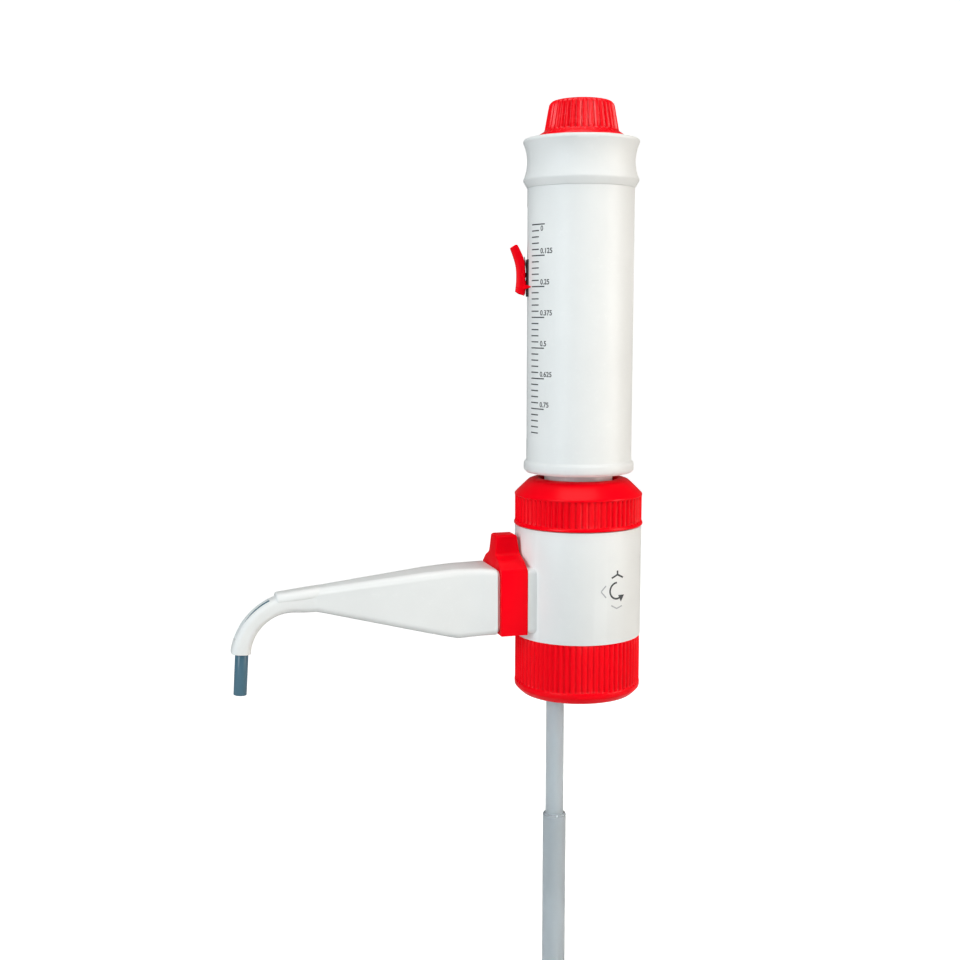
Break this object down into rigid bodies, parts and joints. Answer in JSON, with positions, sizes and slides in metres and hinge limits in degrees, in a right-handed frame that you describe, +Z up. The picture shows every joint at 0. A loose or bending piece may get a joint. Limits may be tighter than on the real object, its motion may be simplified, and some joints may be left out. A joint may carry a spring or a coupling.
{
  "type": "bottle-top dispenser",
  "caption": "Screw-on dispenser for laboratory bottles: lifting dosing sleeve with a volume slider, calibration knob, recirculation valve lever and a bent discharge spout.",
  "frame": {"origin": "centre of the bottle's lip, on the axis of the screw ring, where the neck gasket's underside lies", "axes": "+Z up along the dosing unit, -Z out of the screw ring's mouth into the bottle, -X along the spout"},
  "size_m": [0.177, 0.0554, 0.4164],
  "materials": {
    "white_plastic": "satin moulded",
    "guide_plastic": "smooth moulded",
    "red_plastic": "satin moulded",
    "black_plastic": "matte moulded",
    "inner_plastic": "machined",
    "clear_tube": "translucent extruded",
    "blue_grey_tube": "translucent extruded",
    "seal_plastic": "machined, waxy",
    "seal_rubber": "moulded",
    "measuring_glass": "clear drawn",
    "valve_ceramic": "ground ceramic",
    "spring_steel": "drawn",
    "insert_brass": "turned"
  },
  "bodies": {
    "bottle_connection": {"bottle_collar": "red_plastic", "neck_gasket": "seal_plastic"},
    "valve_body": {"body_shell": "white_plastic", "valve_block": "inner_plastic", "swivel_ring": "inner_plastic", "filling_tube": "clear_tube", "return_tube": "clear_tube", "inlet_valve_seat": "valve_ceramic", "guide_tube": "guide_plastic", "glass_cylinder": "measuring_glass", "cylinder_seal": "seal_plastic", "cylinder_cap": "inner_plastic", "discharge_connector": "inner_plastic", "outlet_valve_seat": "valve_ceramic", "outlet_spring": "spring_steel", "spout_cover": "white_plastic", "discharge_tube": "blue_grey_tube"},
    "clamp_ring": {"ring_nut": "red_plastic"},
    "filling_ball": {"inlet_ball": "valve_ceramic"},
    "discharge_ball": {"outlet_ball": "valve_ceramic"},
    "dosing_valve": {"valve_lever": "red_plastic", "valve_spindle": "inner_plastic", "spindle_seals": "seal_rubber"},
    "telescopic_tube": {"filling_tube_lower": "clear_tube"},
    "dosing_sleeve": {"sleeve": "white_plastic", "sleeve_head": "white_plastic", "guide_bush": "inner_plastic"},
    "volume_slider": {"slider_carriage": "black_plastic", "slider_pointer": "red_plastic", "slider_pin": "spring_steel", "slider_spring": "spring_steel"},
    "slider_thumb": {"slider_lever": "red_plastic"},
    "calibration_knob": {"top_knob": "red_plastic", "knob_nut": "insert_brass", "knob_clip": "inner_plastic"},
    "piston_unit": {"piston_rod": "inner_plastic", "piston": "seal_plastic", "piston_seal": "seal_rubber"}
  },
  "joints": [
    {"name": "body_swivel", "type": "hinge", "parent": "bottle_connection", "child": "valve_body", "pos_m": [0, 0, 0], "axis": [0, 0, 1], "continuous": true},
    {"name": "ring_nut_turn", "type": "hinge", "parent": "valve_body", "child": "clamp_ring", "pos_m": [0, 0, 0.06], "axis": [0, 0, 1], "range_deg": [0, 300]},
    {"name": "filling_ball_lift", "type": "slide", "parent": "valve_body", "child": "filling_ball", "axis": [0, 0, 1], "range_m": [0, 0.0015]},
    {"name": "discharge_ball_lift", "type": "slide", "parent": "valve_body", "child": "discharge_ball", "axis": [-1, 0, 0], "range_m": [0, 0.001], "stiffness_N_per_m": 60, "springref_m": -0.0005, "deforming": ["outlet_spring"]},
    {"name": "valve_turn", "type": "hinge", "parent": "valve_body", "child": "dosing_valve", "pos_m": [-0.033, 0, 0.0244], "axis": [1, 0, 0], "range_deg": [0, 180]},
    {"name": "filling_tube_slide", "type": "slide", "parent": "valve_body", "child": "telescopic_tube", "axis": [0, 0, 1], "range_m": [-0.026, 0.06]},
    {"name": "sleeve_lift", "type": "slide", "parent": "valve_body", "child": "dosing_sleeve", "axis": [0, 0, 1], "range_m": [0, 0.0253]},
    {"name": "volume_slide", "type": "slide", "parent": "dosing_sleeve", "child": "volume_slider", "axis": [0, 0, 1], "range_m": [-0.0607, 0.0253]},
    {"name": "slider_press", "type": "hinge", "parent": "volume_slider", "child": "slider_thumb", "pos_m": [-0.0232, 0.00687, 0.16065], "axis": [0.284, 0.9588, 0], "range_deg": [0, 5], "stiffness_Nm_per_rad": 0.05, "springref_deg": -4.58, "deforming": ["slider_spring"]},
    {"name": "knob_turn", "type": "hinge", "parent": "dosing_sleeve", "child": "calibration_knob", "pos_m": [0, 0, 0.2168], "axis": [0, 0, 1], "range_deg": [-180, 180]},
    {"name": "piston_trim", "type": "slide", "parent": "dosing_sleeve", "child": "piston_unit", "axis": [0, 0, 1], "range_m": [-0.00051, 0.00051]}
  ],
  "couplings": [
    {"joint": "piston_trim", "follows": "knob_turn", "m_per_rad": 0.00015915}
  ]
}
